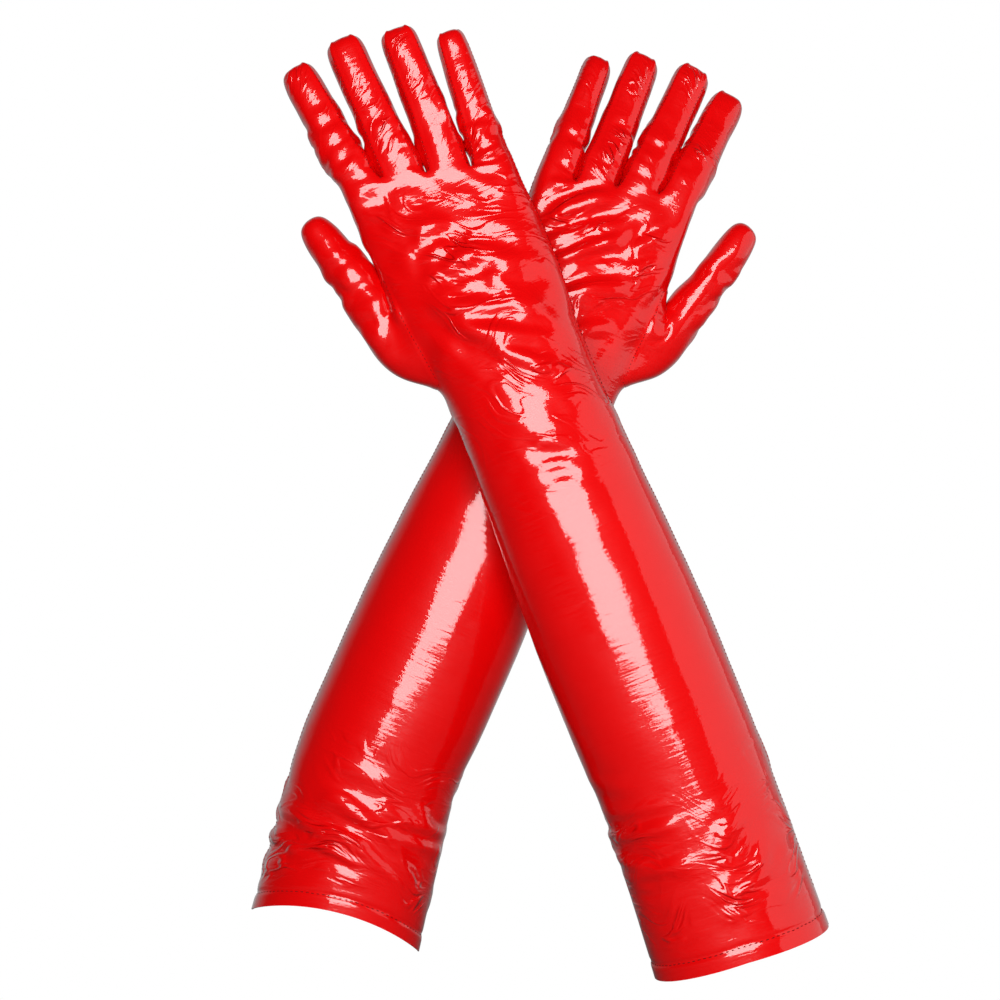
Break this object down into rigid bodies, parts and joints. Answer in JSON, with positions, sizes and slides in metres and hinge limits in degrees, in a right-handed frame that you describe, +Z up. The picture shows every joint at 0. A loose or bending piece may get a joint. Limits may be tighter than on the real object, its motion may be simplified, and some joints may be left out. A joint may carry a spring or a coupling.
{
  "type": "opera gloves",
  "caption": "Pair of long wet-look vinyl gloves with five-digit hands, thumb pieces, fourchettes and turned hems, shaped as worn on raised, crossed arms.",
  "frame": {"origin": "centre of the left glove's cuff rim, where the arm goes in", "axes": "+Z up, towards the fingertips; +X from the left glove's cuff to the right glove's cuff; -Y is the side that the backs of both hands face"},
  "size_m": [0.2836, 0.1372, 0.4666],
  "materials": {
    "patent_vinyl": "wet-look gloss",
    "patent_vinyl_palm": "wet-look gloss",
    "knit_backing": "matt brushed knit",
    "thread": "spun polyester thread"
  },
  "bodies": {
    "left_cuff": {"left_cuff_back": "patent_vinyl", "left_cuff_palm": "patent_vinyl_palm", "left_hem_facing": "knit_backing", "left_hem_stitching": "thread"},
    "left_sleeve": {"left_sleeve_back": "patent_vinyl", "left_sleeve_palm": "patent_vinyl_palm"},
    "left_hand": {"left_hand_back": "patent_vinyl", "left_hand_palm": "patent_vinyl_palm"},
    "left_index": {"left_index_back": "patent_vinyl", "left_index_fourchette_outer_side": "patent_vinyl_palm", "left_index_palm": "patent_vinyl_palm"},
    "left_middle": {"left_middle_back": "patent_vinyl", "left_middle_fourchette_outer_side": "patent_vinyl_palm", "left_middle_fourchette_thumb_side": "patent_vinyl_palm", "left_middle_palm": "patent_vinyl_palm"},
    "left_ring": {"left_ring_back": "patent_vinyl", "left_ring_fourchette_outer_side": "patent_vinyl_palm", "left_ring_fourchette_thumb_side": "patent_vinyl_palm", "left_ring_palm": "patent_vinyl_palm"},
    "left_little": {"left_little_back": "patent_vinyl", "left_little_fourchette_thumb_side": "patent_vinyl_palm", "left_little_palm": "patent_vinyl_palm"},
    "left_thumb": {"left_thumb": "patent_vinyl"},
    "right_cuff": {"right_cuff_back": "patent_vinyl", "right_cuff_palm": "patent_vinyl_palm", "right_hem_facing": "knit_backing", "right_hem_stitching": "thread"},
    "right_sleeve": {"right_sleeve_back": "patent_vinyl", "right_sleeve_palm": "patent_vinyl_palm"},
    "right_hand": {"right_hand_back": "patent_vinyl", "right_hand_palm": "patent_vinyl_palm"},
    "right_index": {"right_index_back": "patent_vinyl", "right_index_fourchette_outer_side": "patent_vinyl_palm", "right_index_palm": "patent_vinyl_palm"},
    "right_middle": {"right_middle_back": "patent_vinyl", "right_middle_fourchette_outer_side": "patent_vinyl_palm", "right_middle_fourchette_thumb_side": "patent_vinyl_palm", "right_middle_palm": "patent_vinyl_palm"},
    "right_ring": {"right_ring_back": "patent_vinyl", "right_ring_fourchette_outer_side": "patent_vinyl_palm", "right_ring_fourchette_thumb_side": "patent_vinyl_palm", "right_ring_palm": "patent_vinyl_palm"},
    "right_little": {"right_little_back": "patent_vinyl", "right_little_fourchette_thumb_side": "patent_vinyl_palm", "right_little_palm": "patent_vinyl_palm"},
    "right_thumb": {"right_thumb": "patent_vinyl"}
  },
  "joints": [
    {"name": "gloves_apart", "type": "slide", "parent": "left_cuff", "child": "right_cuff", "axis": [0, -1, 0], "range_m": [0, 0.2]},
    {"name": "left_elbow", "type": "hinge", "parent": "left_cuff", "child": "left_sleeve", "pos_m": [0.01976, 0.036, 0.07752], "axis": [-0.9143, 0, 0.4051], "range_deg": [0, 45]},
    {"name": "left_wrist", "type": "hinge", "parent": "left_sleeve", "child": "left_hand", "pos_m": [0.10565, 0.027, 0.27134], "axis": [-0.9415, 0, 0.3371], "range_deg": [0, 40]},
    {"name": "left_index_curl", "type": "hinge", "parent": "left_hand", "child": "left_index", "pos_m": [0.17725, 0.0097, 0.37519], "axis": [-0.8934, 0, 0.4493], "range_deg": [0, 50]},
    {"name": "left_middle_curl", "type": "hinge", "parent": "left_hand", "child": "left_middle", "pos_m": [0.15531, 0.0097, 0.37623], "axis": [-0.9056, 0, 0.4242], "range_deg": [0, 60]},
    {"name": "left_ring_curl", "type": "hinge", "parent": "left_hand", "child": "left_ring", "pos_m": [0.13233, 0.0097, 0.37731], "axis": [-0.9323, 0, 0.3616], "range_deg": [0, 60]},
    {"name": "left_little_curl", "type": "hinge", "parent": "left_hand", "child": "left_little", "pos_m": [0.11144, 0.0097, 0.37829], "axis": [-0.9403, 0, 0.3404], "range_deg": [0, 60]},
    {"name": "left_thumb_spread", "type": "hinge", "parent": "left_hand", "child": "left_thumb", "pos_m": [0.14759, 0.007, 0.27279], "axis": [0, 1, 0], "range_deg": [0, 25]},
    {"name": "right_elbow", "type": "hinge", "parent": "right_cuff", "child": "right_sleeve", "pos_m": [0.17312, -0.097, 0.07313], "axis": [0.9252, 0, 0.3795], "range_deg": [0, 45]},
    {"name": "right_wrist", "type": "hinge", "parent": "right_sleeve", "child": "right_hand", "pos_m": [0.09267, -0.088, 0.26928], "axis": [0.9135, 0, 0.4067], "range_deg": [0, 40]},
    {"name": "right_index_curl", "type": "hinge", "parent": "right_hand", "child": "right_index", "pos_m": [0.01349, -0.0513, 0.36746], "axis": [-0.8746, 0, -0.4848], "range_deg": [0, 70]},
    {"name": "right_middle_curl", "type": "hinge", "parent": "right_hand", "child": "right_middle", "pos_m": [0.03529, -0.0513, 0.37014], "axis": [-0.9121, 0, -0.4099], "range_deg": [0, 70]},
    {"name": "right_ring_curl", "type": "hinge", "parent": "right_hand", "child": "right_ring", "pos_m": [0.05812, -0.0513, 0.37294], "axis": [-0.9348, 0, -0.3551], "range_deg": [0, 70]},
    {"name": "right_little_curl", "type": "hinge", "parent": "right_hand", "child": "right_little", "pos_m": [0.07888, -0.0513, 0.37549], "axis": [-0.9489, 0, -0.3156], "range_deg": [0, 70]},
    {"name": "right_thumb_spread", "type": "hinge", "parent": "right_hand", "child": "right_thumb", "pos_m": [0.05074, -0.054, 0.26757], "axis": [0, -1, 0], "range_deg": [0, 25]}
  ]
}
